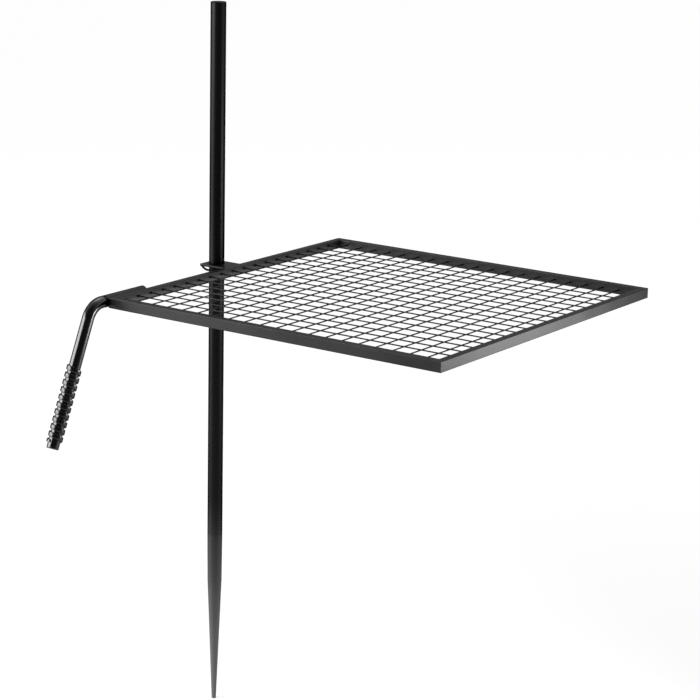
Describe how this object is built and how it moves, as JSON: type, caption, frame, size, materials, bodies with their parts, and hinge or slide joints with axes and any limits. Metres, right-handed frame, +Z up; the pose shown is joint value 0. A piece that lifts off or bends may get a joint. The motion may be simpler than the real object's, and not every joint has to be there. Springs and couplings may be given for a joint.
{
  "type": "swivel stake grill",
  "caption": "Square wire grate in an angle-bar frame that slides and swivels on a pointed ground stake, with a bent pull-out handle and a coiled wire grip.",
  "frame": {"origin": "on the pole's axis at the ground line, where the spike meets the lower end of the pole tube", "axes": "+Z up along the pole, +X from the pole to the grate, +Y along the rail beside the pole, away from the handle"},
  "size_m": [0.549, 0.6155, 1],
  "materials": {
    "frame_paint": "satin",
    "wire_paint": "satin",
    "pole_paint": "semi-gloss",
    "spike_paint": "satin",
    "handle_paint": "gloss",
    "grip_paint": "semi-gloss"
  },
  "bodies": {
    "stake": {"ground_spike": "spike_paint"},
    "pole": {"pole_tube": "pole_paint", "pole_cap": "pole_paint"},
    "grate": {"front_rail": "frame_paint", "right_rail": "frame_paint", "back_rail": "frame_paint", "left_rail": "frame_paint", "cross_wire_01": "wire_paint", "cross_wire_02": "wire_paint", "cross_wire_03": "wire_paint", "cross_wire_04": "wire_paint", "cross_wire_05": "wire_paint", "cross_wire_06": "wire_paint", "cross_wire_07": "wire_paint", "cross_wire_08": "wire_paint", "cross_wire_09": "wire_paint", "cross_wire_10": "wire_paint", "cross_wire_11": "wire_paint", "cross_wire_12": "wire_paint", "cross_wire_13": "wire_paint", "cross_wire_14": "wire_paint", "cross_wire_15": "wire_paint", "cross_wire_16": "wire_paint", "cross_wire_17": "wire_paint", "cross_wire_18": "wire_paint", "cross_wire_19": "wire_paint", "long_wire_01": "wire_paint", "long_wire_02": "wire_paint", "long_wire_03": "wire_paint", "long_wire_04": "wire_paint", "long_wire_05": "wire_paint", "long_wire_06": "wire_paint", "long_wire_07": "wire_paint", "long_wire_08": "wire_paint", "long_wire_09": "wire_paint", "long_wire_10": "wire_paint", "long_wire_11": "wire_paint", "long_wire_12": "wire_paint", "long_wire_13": "wire_paint", "long_wire_14": "wire_paint", "long_wire_15": "wire_paint", "long_wire_16": "wire_paint", "long_wire_17": "wire_paint", "long_wire_18": "wire_paint", "long_wire_19": "wire_paint", "long_wire_20": "wire_paint", "collar_plate": "frame_paint", "pole_saddle": "frame_paint", "near_brace": "frame_paint", "far_brace": "frame_paint", "handle_socket": "frame_paint", "socket_cap": "frame_paint"},
    "handle_ring": {"stop_ring": "handle_paint"},
    "handle": {"handle_rod": "handle_paint", "grip_coil": "grip_paint"}
  },
  "joints": [
    {"name": "pole_swivel", "type": "hinge", "parent": "stake", "child": "pole", "pos_m": [0, 0, 0], "axis": [0, 0, 1], "continuous": true},
    {"name": "grate_lift", "type": "slide", "parent": "pole", "child": "grate", "axis": [0, 0, 1], "range_m": [-0.17, 0.34]},
    {"name": "handle_pull", "type": "slide", "parent": "grate", "child": "handle_ring", "axis": [0, -1, 0], "range_m": [0, 0.05]},
    {"name": "handle_turn", "type": "hinge", "parent": "handle_ring", "child": "handle", "pos_m": [0.01698, -0.254, 0.38565], "axis": [0, 1, 0], "continuous": true}
  ]
}
